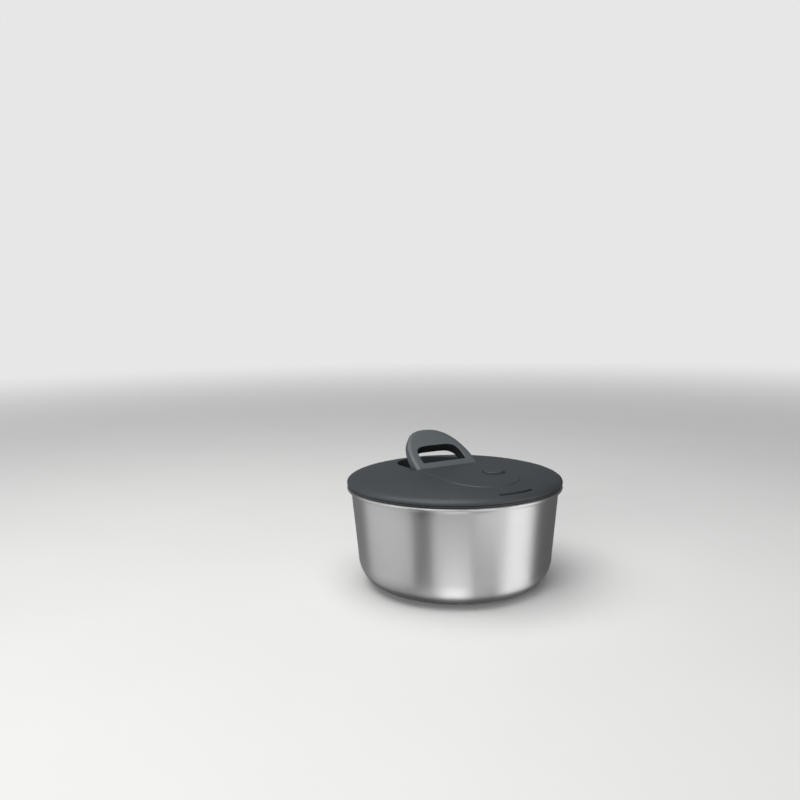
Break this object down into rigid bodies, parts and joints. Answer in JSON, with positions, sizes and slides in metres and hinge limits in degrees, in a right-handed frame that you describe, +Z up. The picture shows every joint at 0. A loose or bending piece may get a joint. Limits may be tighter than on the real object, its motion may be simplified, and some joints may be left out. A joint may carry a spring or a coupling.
{
  "type": "salad spinner",
  "caption": "Round steel bowl with a slotted spinning basket under a grey lid that holds a geared pull-cord drive, a folding loop handle and a brake button.",
  "frame": {"origin": "on the surface that the spinner stands on, under the middle of the bowl", "axes": "+Z up along the bowl's axis, +X along the handle's crossbar to the right, -Y to the front of the lid with the tongue and drain slot"},
  "size_m": [0.212, 0.212, 0.1435],
  "materials": {
    "steel": "satin drawn stainless steel",
    "lid_plastic": "fine matte dark grey",
    "handle_plastic": "soft matte grey",
    "basket_plastic": "milky translucent",
    "dark_plastic": "matte",
    "bearing_plastic": "smooth low-friction plastic",
    "gear_plastic": "natural moulded plastic",
    "pawl_plastic": "moulded plastic",
    "silicone": "matte silicone",
    "rubber": "matte rubber",
    "cord": "braided cord",
    "metal_parts": "turned steel",
    "spring_steel": "blued spring steel",
    "bronze": "sintered bronze"
  },
  "bodies": {
    "bowl": {"bowl": "steel", "foot_ring": "silicone", "pivot_stud": "dark_plastic"},
    "basket": {"basket": "basket_plastic", "pivot_bush": "bearing_plastic"},
    "lid": {"lid_base": "lid_plastic", "lid_seal": "silicone", "top_cover": "lid_plastic", "lid_screws": "metal_parts", "cord_eyelet": "metal_parts", "pull_cord": "cord", "spool_axle": "metal_parts", "spring_arbor": "gear_plastic", "bearing_bush": "bronze", "brake_spring": "spring_steel"},
    "spool": {"cord_spool": "gear_plastic", "spool_cap": "gear_plastic", "cord_coil": "cord", "recoil_spring": "spring_steel"},
    "pinion": {"drive_pinion": "gear_plastic"},
    "rotor": {"drive_shaft": "metal_parts", "pawl_carrier": "pawl_plastic", "shaft_clip": "spring_steel", "drive_plate": "basket_plastic"},
    "cord_end": {"cord_toggle": "metal_parts"},
    "handle": {"pull_handle": "handle_plastic", "handle_cap": "handle_plastic"},
    "button": {"brake_button": "handle_plastic", "brake_pad": "rubber"}
  },
  "joints": [
    {"name": "lid_lift", "type": "slide", "parent": "bowl", "child": "lid", "axis": [0, 0, 1], "range_m": [0, 0.14]},
    {"name": "basket_spin", "type": "hinge", "parent": "bowl", "child": "basket", "pos_m": [0, 0, 0.01], "axis": [0, 0, 1], "continuous": true},
    {"name": "handle_pull", "type": "slide", "parent": "lid", "child": "cord_end", "axis": [0, 0.8348, 0.5505], "range_m": [0, 0.35], "stiffness_N_per_m": 10, "springref_m": -0.2},
    {"name": "handle_fold", "type": "hinge", "parent": "cord_end", "child": "handle", "pos_m": [0, 0.01475, 0.1109], "axis": [1, 0, 0], "range_deg": [-38, 56]},
    {"name": "spool_spin", "type": "hinge", "parent": "lid", "child": "spool", "pos_m": [-0.0159, -0.02777, 0.0933], "axis": [0, 0, 1], "range_deg": [0, 1265]},
    {"name": "pinion_spin", "type": "hinge", "parent": "lid", "child": "pinion", "pos_m": [0, 0, 0.0893], "axis": [0, 0, 1], "range_deg": [-3795, 0]},
    {"name": "drive_spin", "type": "hinge", "parent": "lid", "child": "rotor", "pos_m": [0, 0, 0.0823], "axis": [0, 0, 1], "continuous": true},
    {"name": "button_press", "type": "slide", "parent": "lid", "child": "button", "axis": [0, 0, -1], "range_m": [0, 0.0025], "stiffness_N_per_m": 1200, "springref_m": -0.001, "deforming": ["brake_spring"]}
  ],
  "couplings": [
    {"joint": "spool_spin", "follows": "handle_pull", "rad_per_m": 62.893},
    {"joint": "pinion_spin", "follows": "handle_pull", "rad_per_m": -188.68},
    {"joint": "drive_spin", "follows": "handle_pull", "rad_per_m": -188.68},
    {"joint": "basket_spin", "follows": "handle_pull", "rad_per_m": -188.68}
  ]
}
